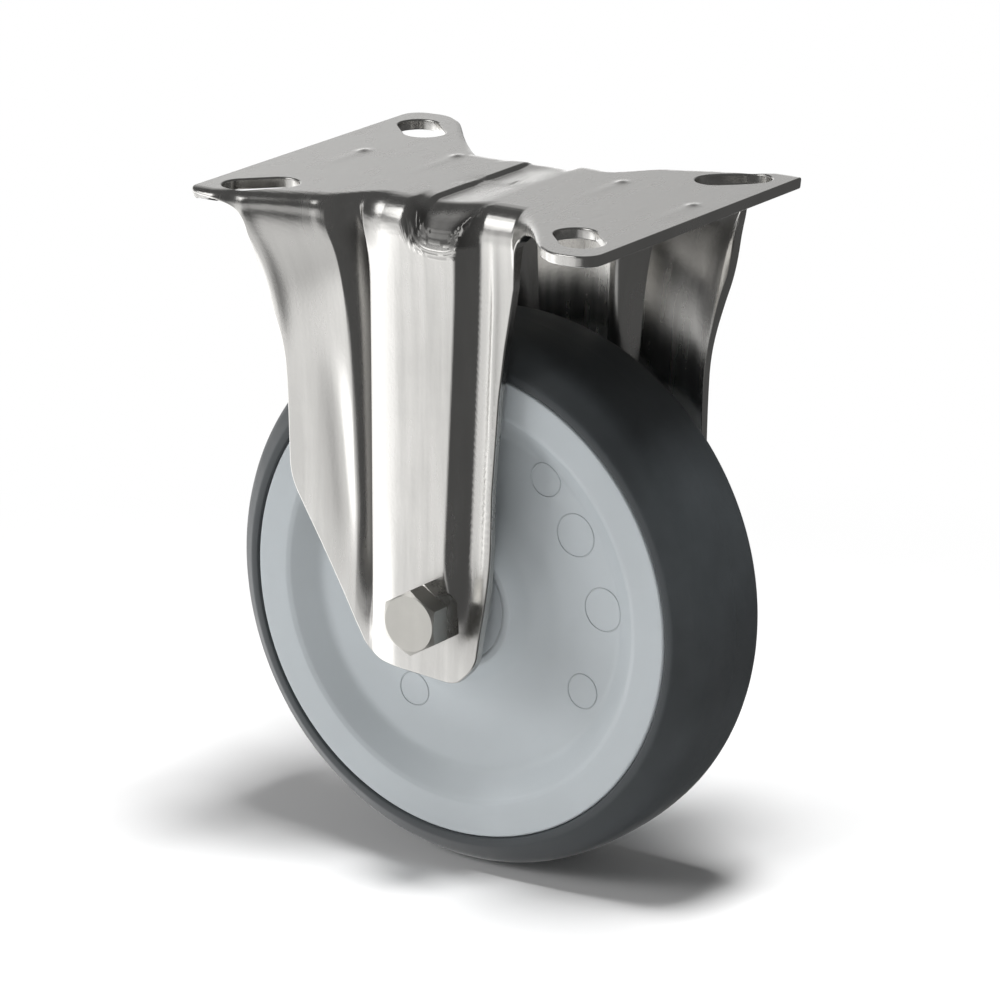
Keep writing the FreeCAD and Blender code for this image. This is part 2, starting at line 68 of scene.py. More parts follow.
# The studio: a pale floor under the wheel, soft lamps overhead, to the left and, weaker, to the right, and a dim
# room with a few large pale cards, which are what the polished sheet shows in its folds. The floor fades into
# the white background, and the metal sees the room through it.
def new_material(name):
    material = bpy.data.materials.new(name)
    material.use_nodes = True
    nodes = material.node_tree.nodes
    return material, nodes, material.node_tree.links, nodes["Principled BSDF"]


def area_light(name, place, aim, size, power):
    """A square lamp that faces its aim, with its side in metres."""
    data = bpy.data.lights.new(name, "AREA")
    data.shape = "SQUARE"
    data.size = size
    data.energy = power
    lamp = bpy.data.objects.new(name, data)
    direction = Vector(aim) - Vector(place)
    lamp.matrix_world = Matrix.Translation(place) @ direction.to_track_quat("-Z", "Y").to_matrix().to_4x4()
    lamp.visible_glossy = False
    bpy.context.scene.collection.objects.link(lamp)


def make_floor():
    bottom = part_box("tyre")[0].z
    half = 1.5
    fade_start, fade_end = 0.19, 0.34
    mesh = bpy.data.meshes.new("floor")
    mesh.from_pydata([(-half, -half, bottom), (half, -half, bottom), (half, half, bottom), (-half, half, bottom)],
                     [], [(0, 1, 2, 3)])
    floor = bpy.data.objects.new("floor", mesh)
    bpy.context.scene.collection.objects.link(floor)
    floor.visible_glossy = False
    paper, nodes, links, shader = new_material("floor_paper")
    shader.inputs["Base Color"].default_value = (0.9, 0.9, 0.9, 1)
    shader.inputs["Roughness"].default_value = 0.9
    shader.inputs["Specular IOR Level"].default_value = 0.0
    place = nodes.new("ShaderNodeTexCoord")
    distance = nodes.new("ShaderNodeVectorMath")
    distance.operation = "LENGTH"
    links.new(place.outputs["Object"], distance.inputs[0])
    fade = nodes.new("ShaderNodeMapRange")
    fade.interpolation_type = "SMOOTHSTEP"
    fade.inputs["From Min"].default_value = fade_start
    fade.inputs["From Max"].default_value = fade_end
    links.new(distance.outputs["Value"], fade.inputs["Value"])
    seen = nodes.new("ShaderNodeLightPath")
    amount = nodes.new("ShaderNodeMath")
    amount.operation = "MULTIPLY"
    links.new(fade.outputs["Result"], amount.inputs[0])
    links.new(seen.outputs["Is Camera Ray"], amount.inputs[1])
    white = nodes.new("ShaderNodeEmission")
    white.inputs["Strength"].default_value = 1.0
    mix = nodes.new("ShaderNodeMixShader")
    links.new(amount.outputs[0], mix.inputs[0])
    links.new(shader.outputs[0], mix.inputs[1])
    links.new(white.outputs[0], mix.inputs[2])
    links.new(mix.outputs[0], nodes["Material Output"].inputs["Surface"])
    floor.data.materials.append(paper)


def make_room(base, cards):
    """A dim grey room. Reflections also see soft pale cards, each a direction, two angles and a level."""
    world = bpy.data.worlds.new("studio")
    world.use_nodes = True
    bpy.context.scene.world = world
    nodes = world.node_tree.nodes
    links = world.node_tree.links
    place = nodes.new("ShaderNodeTexCoord")
    metal_base = 0.1
    level = None
    for axis, inner, outer, strength in cards:
        facing_card = nodes.new("ShaderNodeVectorMath")
        facing_card.operation = "DOT_PRODUCT"
        facing_card.inputs[1].default_value = Vector(axis).normalized()
        links.new(place.outputs["Generated"], facing_card.inputs[0])
        soft = nodes.new("ShaderNodeMapRange")
        soft.interpolation_type = "SMOOTHSTEP"
        soft.inputs["From Min"].default_value = math.cos(math.radians(outer))
        soft.inputs["From Max"].default_value = math.cos(math.radians(inner))
        soft.inputs["To Max"].default_value = strength
        links.new(facing_card.outputs["Value"], soft.inputs["Value"])
        total = nodes.new("ShaderNodeMath")
        total.operation = "ADD"
        total.inputs[1].default_value = metal_base
        links.new(soft.outputs["Result"], total.inputs[0])
        if level:
            links.new(level, total.inputs[1])
        level = total.outputs[0]
    room = nodes["Background"]
    seen = nodes.new("ShaderNodeLightPath")
    shown = nodes.new("ShaderNodeMix")
    shown.inputs[2].default_value = base
    links.new(seen.outputs["Is Glossy Ray"], shown.inputs[0])
    links.new(level, shown.inputs[3])
    links.new(shown.outputs[0], room.inputs["Strength"])
    room.inputs["Color"].default_value = (1, 1, 1, 1)
    white = nodes.new("ShaderNodeBackground")
    white.inputs["Color"].default_value = (1, 1, 1, 1)
    white.inputs["Strength"].default_value = 1.0
    mix = nodes.new("ShaderNodeMixShader")
    links.new(seen.outputs["Is Camera Ray"], mix.inputs[0])
    links.new(room.outputs[0], mix.inputs[1])
    links.new(white.outputs[0], mix.inputs[2])
    links.new(mix.outputs[0], nodes["World Output"].inputs["Surface"])


make_floor()
make_room(0.12, [
    ((-0.54, -0.79, -0.25), 10, 36, 0.9),
    ((-0.93, -0.2, -0.3), 12, 36, 1.35),
    ((-0.78, 0.56, -0.3), 12, 40, 1.5),
    ((-0.5, -0.2, -0.84), 14, 48, 0.75),
    ((-0.5, -0.6, 0.66), 10, 26, 2.0),
    ((-0.54, 0.79, 0.28), 8, 28, 0.43),
    ((0.1, -0.97, -0.25), 8, 22, 0.45),
])
area_light("overhead_softbox", (0.11, -0.04, 0.85), (0, 0, -0.12), 0.24, 10.5)
area_light("left_softbox", (-0.55, -0.45, 0.14), (0, 0, -0.08), 0.34, 2.6)
area_light("right_softbox", (0.45, -0.9, 0.12), (0, 0, -0.08), 0.5, 0.9)


# The bracket is pressed from one stainless steel sheet. Its plate turns down into two legs, and each leg has
# a broad flat bulge for the bolt, a wide panel on one side that spreads up into the plate's corner, and a
# narrow flange on the other. The far leg is the near one after half a turn.
sheet_thickness = 2.5
plate_length = 106.0
plate_width = 88.0
leg_plane = 20.5
bulge_height = 4.7
bulge_left = 17.3
bulge_left_wall = 1.2
bulge_right_wall = 4.6
panel_lean = 2.6
panel_fade = 15.0
rib_height = 0.9
lip_height = 0.35
hollow_depth = 1.2
groove_depth = 1.3
channel_depth = 0.9
dent_depth = 8.7
dent_middle = 1.6
dent_half = 9.2
bend_softness = 7.6
axle_depth = 92.5
slot_pitch = (83.0, 61.0)
slot_width = 9.4
slot_length = 17.0
axle_hole = 8.4
edge_round = 0.45
pip_height = 0.32
tail_height = 0.05
pips = ((-40.0, 6.0), (-20.0, 13.5), (23.0, 14.4), (46.6, 6.0))
plate_drop = 0.35


def smooth(value, low, high):
    """0 below low, 1 above high, and an even S between them."""
    k = np.clip((value - low) / (high - low), 0, 1)
    return k * k * (3 - 2 * k)


def leg_face(x, depth):
    """The near leg's outer face: its distance from the middle plane."""
    groove = -bulge_left - bulge_left_wall
    slope = 4.8 - 0.012 * depth
    panel = 1 - np.clip((x - groove + slope) / slope, 0, 1) ** 1.25
    right = 9.2 - 0.05 * depth + 2.0 * smooth(depth, 80, 92)
    fall = np.clip((x - right + 2.6) / bulge_right_wall, 0, 1)
    bulge = smooth(x, groove, groove + bulge_left_wall)
    bulge = bulge * (1 - (1 - smooth(depth, 80, 102)) * fall ** 2 * (3 - 2 * fall))
    bulge = bulge + (1 - bulge) * smooth(depth, 88, 97) * (1 - smooth(x, 0, 4))
    reach = plate_width / 2 - leg_plane - 0.4
    share = 1 - 0.48 * smooth(x, -46.0, -14.0)
    fade = panel_fade - 3.0 * smooth(x, -45.0, -24.0)
    flare = panel_lean + (reach - panel_lean) * share * np.exp(-np.maximum(depth - sheet_thickness, 0) / fade)
    top = sheet_thickness * np.exp(-depth / 10)
    crown = 0.5 * (np.maximum(x, -bulge_left) / 14) ** 2 + 0.75 * (np.clip(-x - 8, 0, 9.3) / 9) ** 2
    crown = crown * (1 - smooth(depth, 74, 84) * (1 - smooth(-x, 9, 14)))
    rib = rib_height * np.exp(-((x + 40.2) / 1.9) ** 2)
    rib = rib * smooth(depth, 0, 5) * (1 - smooth(depth, 14, 44))
    lip = lip_height * np.exp(-((x - 14.6 + 0.05 * depth) / 1.0) ** 2)
    lip = lip * smooth(depth, 8, 16) * (1 - smooth(depth, 76, 88))
    hollow = hollow_depth * np.exp(-((x + 31.5 - 0.09 * depth) / 3.4) ** 2)
    hollow = hollow * smooth(depth, 36, 52) * (1 - smooth(depth, 76, 88))
    groove_width = np.where(x < groove, 2.4, 0.7)
    deepest = groove_depth * np.exp(-((x - groove) / groove_width) ** 2)
    deepest = deepest * smooth(depth, 4, 16) * (1 - smooth(depth, 84, 95))
    face = leg_plane + panel * (1 - bulge) * flare + bulge * (bulge_height - crown) + (1 - panel) * top
    return face + rib + lip - hollow - deepest


def bend_place(x):
    """How far out the plate turns down into the near leg: a smooth line past the groove, then out to the lobe."""
    past = np.maximum(x - 18.5, 0)
    spread = smooth(x, -25.0, -13.5)
    panel_side = leg_face(np.minimum(x, -26.0), 0 * x) - 0.27 * np.maximum(x + 26, 0)
    bulge_side = leg_face(np.maximum(x, -13.0), 0 * x)
    return panel_side * (1 - spread) + bulge_side * spread + past * (1 + 0.012 * past)


def dent(x):
    """The share of the dent over the near leg's bend that lies at this place along the leg."""
    share = 1 - (np.abs(x - dent_middle) / dent_half) ** 3
    return (share + np.sqrt(share ** 2 + 0.02)) / 2


def plate_sink(x, y):
    """How deep the plate's top lies: a channel with one steep side, and a dent over each leg."""
    sink = channel_depth * smooth(x, -4.8, -3.4) * (1 - smooth(x, -3.4, 9.0))
    sink = sink * (1 - smooth(np.abs(y + 3), 18, 24))
    for turn in (1, -1):
        sink = sink + dent_depth * dent(turn * x) * smooth(-turn * y, 20.0, 26.6)
    return sink


def pip_rise(x, y):
    """How far the four small pips and their faint drawn tails stand out of the plate."""
    rise = 0
    for px, py in pips:
        tail = np.exp(-((x - px) / 1.5) ** 2) * smooth(y, py - 20, py) * (1 - smooth(y, py, py + 1.5))
        pip = np.exp(-((x - px) / 1.1) ** 2 - ((y - py) / 1.5) ** 2)
        rise = rise + pip_height * pip + tail_height * tail
    return rise


def sharp_sheet(x, run, side):
    """The near half before its bends are rounded. Run goes from the plate's middle towards the foot.

    The leg starts on the smooth bend line and takes its own form over about its first centimetre.
    """
    bend = bend_place(x)
    depth = np.maximum(run - bend, 0)
    out = np.minimum(run, bend)
    sink = plate_sink(x * side, -out * side)
    level = depth + sink * (1 - smooth(depth, 0, 34))
    eased = (bend - leg_face(x, 0 * x)) * np.exp(-(level / 6.5) ** 2)
    y = np.where(run < bend, -run, -leg_face(x, level) - eased)
    return y, np.where(run < bend, -sink, -level)


def sheet_face(flat):
    """The sheet's outer face over the flat blank: the far half is the near half after half a turn."""
    side = np.where(flat[:, 1] > 0, -1.0, 1.0)
    x = flat[:, 0] * side
    run = np.abs(flat[:, 1])
    soft = bend_softness - 4.6 * np.minimum(dent(x), 1) - 3.4 * smooth(-x, 41, 47)
    steps = np.linspace(-1, 1, 17)
    weights = 1 + steps ** 2
    y = 0
    z = 0
    for step, weight in zip(steps, weights / weights.sum()):
        there = run + step * soft
        a, b = sharp_sheet(x, np.abs(there), np.where(there < 0, -side, side))
        y = y + weight * np.where(there < 0, -a, a)
        z = z + weight * b
    z = z + pip_rise(flat[:, 0], flat[:, 1]) - plate_drop
    return np.stack((flat[:, 0], y * side, z), axis=1)


def facing(flat):
    """The outward direction of the sheet's face at each place."""
    small = 0.12
    along = sheet_face(flat + (small, 0)) - sheet_face(flat - (small, 0))
    across = sheet_face(flat + (0, small)) - sheet_face(flat - (0, small))
    normal = np.cross(along, across)
    return normal / np.linalg.norm(normal, axis=1, keepdims=True)


def rounded(points, radii, closed=True, step=0.7):
    """A line through the points with its corners rounded, as places about a step apart."""
    count = len(points)
    line = []
    for i in range(count):
        here = np.array(points[i], float)
        back = np.array(points[i - 1], float) - here
        ahead = np.array(points[(i + 1) % count], float) - here
        back_length = np.linalg.norm(back)
        ahead_length = np.linalg.norm(ahead)
        back /= back_length
        ahead /= ahead_length
        half = math.acos(float(np.clip(back @ ahead, -1, 1))) / 2
        if radii[i] == 0 or half > 1.55:
            line.append(here)
            continue
        reach = min(radii[i] / math.tan(half), 0.48 * back_length, 0.48 * ahead_length)
        radius = reach * math.tan(half)
        centre = here + (back + ahead) / np.linalg.norm(back + ahead) * radius / math.sin(half)
        first = here + back * reach - centre
        turn = math.pi - 2 * half
        side = math.copysign(1.0, first[0] * (here - centre)[1] - first[1] * (here - centre)[0])
        pieces = max(2, math.ceil(radius * turn / step))
        for k in range(pieces + 1):
            angle = side * turn * k / pieces
            c, s = math.cos(angle), math.sin(angle)
            line.append(centre + np.array((c * first[0] - s * first[1], s * first[0] + c * first[1])))
    dense = []
    for i, here in enumerate(line):
        ahead = line[(i + 1) % len(line)]
        if i == len(line) - 1 and not closed:
            dense.append(here)
            break
        pieces = max(1, math.ceil(float(np.linalg.norm(ahead - here)) / step))
        dense += [here + (ahead - here) * k / pieces for k in range(pieces)]
    return np.array(dense)


def near_outline():
    """The blank's edge over the near half, as (x, run) from the plate's left edge to its right edge."""
    leg = [(-plate_length / 2, -8.0, 0), (-plate_length / 2, -1.2, 5.0), (-39.2, 2.0, 9.0), (-43.6, 19.5, 22.0),
           (-39.9, 37, 60), (-39.9, 68, 16), (-17.6, 106.0, 8), (10.8, 108.3, 8.5), (11.8, 92, 30),
           (12.7, 64, 80), (14.4, 42, 60), (15.9, 31, 60), (18.6, 17, 0)]
    line = rounded([p[:2] for p in leg], [p[2] for p in leg], closed=False)
    line[:, 1] += bend_place(line[:, 0])
    lobe = [(19.6, 28.0, 3.0), (29.2, 34.4, 20.0), (43.4, 44.15, 7.0), (plate_length / 2, 43.3, 6.5),
            (plate_length / 2, 30.0, 0)]
    root = [tuple(p) + (0.0,) for p in line]
    return root + lobe


def slot_outline(x_sign, y_sign):
    """One mounting slot in the plate, at 45 degrees and pointing at the plate's middle."""
    axis = np.array((x_sign, y_sign)) / math.sqrt(2)
    across = np.array((-axis[1], axis[0]))
    middle = np.array((x_sign * slot_pitch[0] / 2, y_sign * slot_pitch[1] / 2))
    half = (slot_length - slot_width) / 2
    line = []
    for end in (1, -1):
        for k in range(21):
            angle = -math.pi / 2 + math.pi * k / 20
            arm = end * (axis * math.cos(angle) + across * math.sin(angle)) * slot_width / 2
            line.append(middle + end * axis * half + arm)
    return np.array(line)


def inside(points, outline):
    """Which points lie inside a closed outline."""
    found = np.zeros(len(points), bool)
    x, y = points[:, 0], points[:, 1]
    for a, b in zip(outline, np.roll(outline, -1, axis=0)):
        if a[1] != b[1]:
            crosses = (a[1] > y) != (b[1] > y)
            found ^= crosses & (x < (b[0] - a[0]) * (y - a[1]) / (b[1] - a[1]) + a[0])
    return found


def clear_of(points, outline, gap):
    """Which points stay this far from an outline's own points."""
    keep = np.ones(len(points), bool)
    for start in range(0, len(outline), 64):
        part = outline[start:start + 64]
        apart = np.hypot(points[:, None, 0] - part[None, :, 0], points[:, None, 1] - part[None, :, 1])
        keep &= apart.min(axis=1) > gap
    return keep


def blank_grid():
    """Points across the flat blank, close together where it is folded, creased or pipped."""
    x = [0.0]
    while x[-1] < plate_length / 2:
        x.append(x[-1] + 0.44 + 0.5 * float(smooth(x[-1], 24, 27)) + 0.3 * float(smooth(x[-1], 45, 48)))
    points = []
    for place in [-v for v in x[:0:-1]] + x:
        bend = float(bend_place(np.array(place)))
        run = 0.0
        while run < 165:
            fold = float(smooth(run, bend - 13, bend - 9) * (1 - smooth(run, bend + 9, bend + 16)))
            dented = float(smooth(run, 10, 14)) if abs(place) < 14 else 0.0
            run += 1.7 - 1.1 * max(fold, dented if run < bend else 0.0)
            points.append((place, -run))
            points.append((-place, run))
        points.append((place, 0.0))
    grid = np.array(points)
    for px, py in pips:
        gx, gy = np.meshgrid(np.arange(-3, 3.1, 0.3) + px, np.arange(-4, 3.1, 0.3) + py)
        patch = np.stack((gx.ravel(), gy.ravel()), axis=1)
        far = np.maximum(np.abs(grid[:, 0] - px) / 3.2, np.abs(grid[:, 1] - py + 0.5) / 3.7) > 1
        grid = np.concatenate((grid[far], patch))
    gx, gy = np.meshgrid(np.arange(-5.2, -2.9, 0.3), np.arange(-27, 27, 0.7))
    patch = np.stack((gx.ravel(), gy.ravel()), axis=1)
    far = (np.abs(grid[:, 0] + 4.1) > 1.4) | (np.abs(grid[:, 1]) > 27.2)
    return np.concatenate((grid[far], patch))


def offset(outline, distance):
    """The closed outline moved to its left by a distance."""
    ahead = np.roll(outline, -1, axis=0) - np.roll(outline, 1, axis=0)
    ahead /= np.linalg.norm(ahead, axis=1, keepdims=True)
    return outline + np.stack((-ahead[:, 1], ahead[:, 0]), axis=1) * distance


def make_bracket():
    """The sheet's two faces over the flat blank and its rounded edges, with a share of painted shade in dents and
    grooves.
    """
    near = near_outline()
    points = [(x, -run) for x, run, r in near]
    radii = [r for x, run, r in near]
    outline = rounded(points + [(-x, -s) for x, s in points], radii * 2)
    hole_run = float(bend_place(np.array(0.0))) + axle_depth
    ring = np.array([(math.cos(k * math.pi / 24), math.sin(k * math.pi / 24)) for k in range(48)])
    loops = [outline] + [slot_outline(sx, sy)[::-1] for sx, sy in ((-1, -1), (1, -1), (1, 1), (-1, 1))]
    loops += [(ring * axle_hole / 2 + (0, side * hole_run))[::-1] for side in (-1, 1)]
    insets = [offset(line, edge_round) for line in loops]
    grid = blank_grid()
    grid = grid[inside(grid, insets[0])]
    for hole in insets[1:]:
        grid = grid[~inside(grid, hole)]
    for line in insets:
        grid = grid[clear_of(grid, line, 0.4)]
    places = [Vector(p) for line in insets for p in line] + [Vector(p) for p in grid]
    edges = []
    first = 0
    for line in insets:
        edges += [(first + k, first + (k + 1) % len(line)) for k in range(len(line))]
        first += len(line)
    flat, _, faces, _, _, _ = geometry.delaunay_2d_cdt(places, edges, [], 0, 1e-6)
    flat = np.array([tuple(v) for v in flat])
    faces = np.array([f for f in faces if len(f) == 3])
    middles = flat[faces].mean(axis=1)
    keep = inside(middles, insets[0])
    for hole in insets[1:]:
        keep &= ~inside(middles, hole)
    faces = faces[keep]
    face_points = sheet_face(flat)
    face_normals = facing(flat)
    count = len(flat)
    verts = [face_points, face_points - face_normals * sheet_thickness]
    normals = [face_normals, -face_normals]
    quads = []
    over_edge = [(k * math.pi / 8, 0) for k in (1, 2, 3, 4)]
    under_edge = [(k * math.pi / 8, 1) for k in (4, 5, 6, 7)]
    start = 2 * count
    first = 0
    for line in loops:
        size = len(line)
        ids = np.arange(first, first + size)
        first += size
        base = face_points[ids]
        up = face_normals[ids]
        out = sheet_face(line) - base
        out -= up * (out * up).sum(axis=1, keepdims=True)
        out /= np.linalg.norm(out, axis=1, keepdims=True)
        rings = [ids]
        for angle, drop in over_edge + under_edge:
            low = sheet_thickness - 2 * edge_round if drop else 0
            sink = edge_round * (1 - math.cos(angle)) + low
            verts.append(base + out * edge_round * math.sin(angle) - up * sink)
            normals.append(up * math.cos(angle) + out * math.sin(angle))
            rings.append(np.arange(start, start + size))
            start += size
        rings.append(ids + count)
        for a, b in zip(rings, rings[1:]):
            quads.append(np.stack((a, b, np.roll(b, -1), np.roll(a, -1)), axis=1))
    verts = np.concatenate(verts) * MM
    normals = np.concatenate(normals)
    all_faces = faces.tolist() + (faces[:, ::-1] + count).tolist() + np.concatenate(quads).tolist()
    mesh = bpy.data.meshes.new("bracket_sheet")
    mesh.from_pydata(verts.tolist(), [], all_faces)
    mesh.shade_smooth()
    mesh.normals_split_custom_set_from_vertices(normals.tolist())
    near_x = flat[:, 0] * np.where(flat[:, 1] > 0, -1.0, 1.0)
    height = face_points[:, 2]
    # Painted shade: the dent over each leg's bend and the groove down each leg get a share that darkens the steel
    # there.
    shade_share = dent(near_x) * smooth(np.abs(flat[:, 1]), 19.5, 23.0)
    shade_share = np.clip(shade_share, 0, 1) * (1 - smooth(height, -1.2, -0.2)) * smooth(height, -9.4, -8.4)
    depth = np.abs(flat[:, 1]) - bend_place(near_x)
    groove = np.exp(-((near_x + 19.0) / 1.3) ** 2)
    shade_share += 0.8 * groove * smooth(depth, 4, 12) * (1 - smooth(depth, 84, 92))
    share = mesh.attributes.new("painted_shade", "FLOAT", "POINT")
    share.data.foreach_set("value", np.concatenate((shade_share, np.zeros(len(verts) - count))))
    piece = bpy.data.objects.new("bracket_sheet", mesh)
    bpy.context.scene.collection.objects.link(piece)
    return piece


bracket = make_bracket()


def stainless(name, colour, roughness, grain_size, streak, painted_shade=None):
    """Stainless steel: a fine grain, faint streaks that run up and down, and a cloudy satin sheen.

    Where the named attribute is set, the steel is duller and its colour is darkened as painted shade.
    """
    material, nodes, links, shader = new_material(name)
    shader.inputs["Metallic"].default_value = 1.0
    place = nodes.new("ShaderNodeTexCoord")
    streaks_place = nodes.new("ShaderNodeMapping")
    streaks_place.inputs["Scale"].default_value = (1.0, 0.2, 0.06)
    links.new(place.outputs["Object"], streaks_place.inputs["Vector"])
    streaks = nodes.new("ShaderNodeTexNoise")
    streaks.inputs["Scale"].default_value = 420.0
    streaks.inputs["Detail"].default_value = 4.0
    links.new(streaks_place.outputs["Vector"], streaks.inputs["Vector"])
    cloud = nodes.new("ShaderNodeTexNoise")
    cloud.inputs["Scale"].default_value = 60.0
    cloud.inputs["Detail"].default_value = 5.0
    cloud.inputs["Roughness"].default_value = 0.65
    links.new(place.outputs["Object"], cloud.inputs["Vector"])
    mixed = nodes.new("ShaderNodeMix")
    mixed.inputs[0].default_value = streak
    links.new(cloud.outputs["Fac"], mixed.inputs[2])
    links.new(streaks.outputs["Fac"], mixed.inputs[3])
    gloss = nodes.new("ShaderNodeMapRange")
    gloss.inputs["From Min"].default_value = 0.35
    gloss.inputs["From Max"].default_value = 0.65
    gloss.inputs["To Min"].default_value = roughness - 0.05
    gloss.inputs["To Max"].default_value = roughness + 0.06
    links.new(mixed.outputs[0], gloss.inputs["Value"])
    tone = nodes.new("ShaderNodeValToRGB")
    for stop, share in zip(tone.color_ramp.elements, (0.93, 1.05)):
        stop.color = tuple(c * share for c in colour) + (1,)
    tone.color_ramp.elements[0].position = 0.38
    tone.color_ramp.elements[1].position = 0.62
    links.new(mixed.outputs[0], tone.inputs["Fac"])
    colour_out, gloss_out = tone.outputs["Color"], gloss.outputs["Result"]
    # Painted shade: the colour is mixed towards a dark grey where the attribute is set, and the steel is duller
    # there.
    if painted_shade:
        share = nodes.new("ShaderNodeAttribute")
        share.attribute_name = painted_shade
        dark = nodes.new("ShaderNodeMix")
        dark.data_type = "RGBA"
        links.new(share.outputs["Fac"], dark.inputs[0])
        links.new(colour_out, dark.inputs[6])
        dark.inputs[7].default_value = tuple(c * 0.22 for c in colour) + (1,)
        dull = nodes.new("ShaderNodeMath")
        dull.operation = "MULTIPLY_ADD"
        dull.inputs[1].default_value = 0.1
        links.new(share.outputs["Fac"], dull.inputs[0])
        links.new(gloss_out, dull.inputs[2])
        colour_out, gloss_out = dark.outputs[2], dull.outputs[0]
    links.new(colour_out, shader.inputs["Base Color"])
    links.new(gloss_out, shader.inputs["Roughness"])
    grain = nodes.new("ShaderNodeTexNoise")
    grain.inputs["Scale"].default_value = grain_size
    grain.inputs["Detail"].default_value = 4.0
    grain.inputs["Roughness"].default_value = 0.6
    links.new(place.outputs["Object"], grain.inputs["Vector"])
    relief = nodes.new("ShaderNodeBump")
    relief.inputs["Strength"].default_value = 0.34
    relief.inputs["Distance"].default_value = 0.00006
    links.new(grain.outputs["Fac"], relief.inputs["Height"])
    links.new(relief.outputs["Normal"], shader.inputs["Normal"])
    return material


# The sheet's steel takes painted shade in its dents and grooves from the mesh's attribute.
steel = stainless("pressed_stainless", (0.62, 0.61, 0.59), 0.24, 1500.0, 0.6, painted_shade="painted_shade")
bracket.data.materials.append(steel)
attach(bracket, "bracket")
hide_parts("bracket")


# The wheel centre is moulded in pale grey plastic: a boss for the bearing, a dished web and a flat ring
# round the rim. A soft rounded step joins the ring to the web, and the web swells into the boss.
boss_end = 17.4
wheel_half = [(11.12, 14.9, 0), (13.0, 14.9, 0), (13.0, boss_end, 0), (14.8, boss_end, 0.6), (18.2, 13.8, 5.0),
              (24.0, 11.4, 12.0), (30.0, 10.7, 30.0), (39.8, 11.4, 3.5), (45.5, 15.6, 1.6), (46.6, 16.0, 1.2),
              (53.7, 16.0, 0.3), (54.0, 15.6, 0)]


def lathe(name, outline, segments=288):
    """A closed ring about the axle from an outline of (radius, place along the axle) that runs clockwise."""
    turns = np.arange(segments) * 2 * math.pi / segments
    count = len(outline)
    radius, along = outline[:, 0], outline[:, 1]
    verts = np.stack([np.outer(np.sin(turns), radius).ravel(), np.tile(along, segments),
                      np.outer(np.cos(turns), radius).ravel() - axle_depth], axis=1) * MM
    here = np.arange(segments)[:, None] * count
    there = (np.arange(segments)[:, None] + 1) % segments * count
    k = np.arange(count)
    ahead = (k + 1) % count
    faces = np.stack([here + k, here + ahead, there + ahead, there + k], axis=2).reshape(-1, 4)
    mesh = bpy.data.meshes.new(name)
    mesh.from_pydata(verts.tolist(), [], faces.tolist())
    mesh.shade_smooth()
    piece = bpy.data.objects.new(name, mesh)
    bpy.context.scene.collection.objects.link(piece)
    work = bmesh.new()
    work.from_mesh(mesh)
    bmesh.ops.recalc_face_normals(work, faces=work.faces)
    work.to_mesh(mesh)
    work.free()
    return piece


def both_sides(half, step):
    """The half outline and its mirror image, with every corner rounded by its own radius."""
    points = [(r, y) for r, y, _ in half] + [(r, -y) for r, y, _ in reversed(half)]
    radii = [c for _, _, c in half] + [c for _, _, c in reversed(half)]
    return rounded(points, radii, step=step)


def plastic(name, colour, roughness, cloud):
    """Moulded plastic: a faint cloudiness and a fine satin grain."""
    material, nodes, links, shader = new_material(name)
    shader.inputs["Specular IOR Level"].default_value = 0.5
    place = nodes.new("ShaderNodeTexCoord")
    drift = nodes.new("ShaderNodeTexNoise")
    drift.inputs["Scale"].default_value = 38.0
    drift.inputs["Detail"].default_value = 3.0
    links.new(place.outputs["Object"], drift.inputs["Vector"])
    tone = nodes.new("ShaderNodeValToRGB")
    for stop, share in zip(tone.color_ramp.elements, (1 - cloud, 1 + cloud)):
        stop.color = tuple(c * share for c in colour) + (1,)
    tone.color_ramp.elements[0].position = 0.3
    tone.color_ramp.elements[1].position = 0.7
    links.new(drift.outputs["Fac"], tone.inputs["Fac"])
    links.new(tone.outputs["Color"], shader.inputs["Base Color"])
    gloss = nodes.new("ShaderNodeMapRange")
    gloss.inputs["To Min"].default_value = roughness - 0.05
    gloss.inputs["To Max"].default_value = roughness + 0.07
    links.new(drift.outputs["Fac"], gloss.inputs["Value"])
    links.new(gloss.outputs["Result"], shader.inputs["Roughness"])
    grain = nodes.new("ShaderNodeTexNoise")
    grain.inputs["Scale"].default_value = 2600.0
    grain.inputs["Detail"].default_value = 2.0
    links.new(place.outputs["Object"], grain.inputs["Vector"])
    relief = nodes.new("ShaderNodeBump")
    relief.inputs["Strength"].default_value = 0.1
    relief.inputs["Distance"].default_value = 0.00004
    links.new(grain.outputs["Fac"], relief.inputs["Height"])
    links.new(relief.outputs["Normal"], shader.inputs["Normal"])
    return material


wheel_centre = lathe("wheel_centre", both_sides(wheel_half, 0.8))
wheel_plastic = plastic("wheel_plastic", (0.46, 0.495, 0.515), 0.36, 0.03)
wheel_centre.data.materials.append(wheel_plastic)
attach(wheel_centre, "wheel")
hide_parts("wheel_body")


# Five round marks stand on the near web, where pins and round inserts of the mould ended. Each is a fine raised
# line, moulded with the web, in a rougher plastic whose darker colour is painted shade along the line.

# A mark's place along X, its height over the axle and its radius.
mark_places = [(20.3, 30.4, 3.9), (28.0, 19.1, 4.9), (35.3, 3.4, 4.9), (29.9, -16.4, 3.9), (-15.0, -24.4, 3.9)]
mark_line_radius = 0.16


def web_face(radius):
    """How far out along the axle the web's moulded face lies at a radius."""
    line = both_sides(wheel_half, 0.8)
    line = line[(line[:, 1] > 8) & (line[:, 0] > 20)]
    order = np.argsort(line[:, 0])
    return np.interp(radius, line[order, 0], line[order, 1])


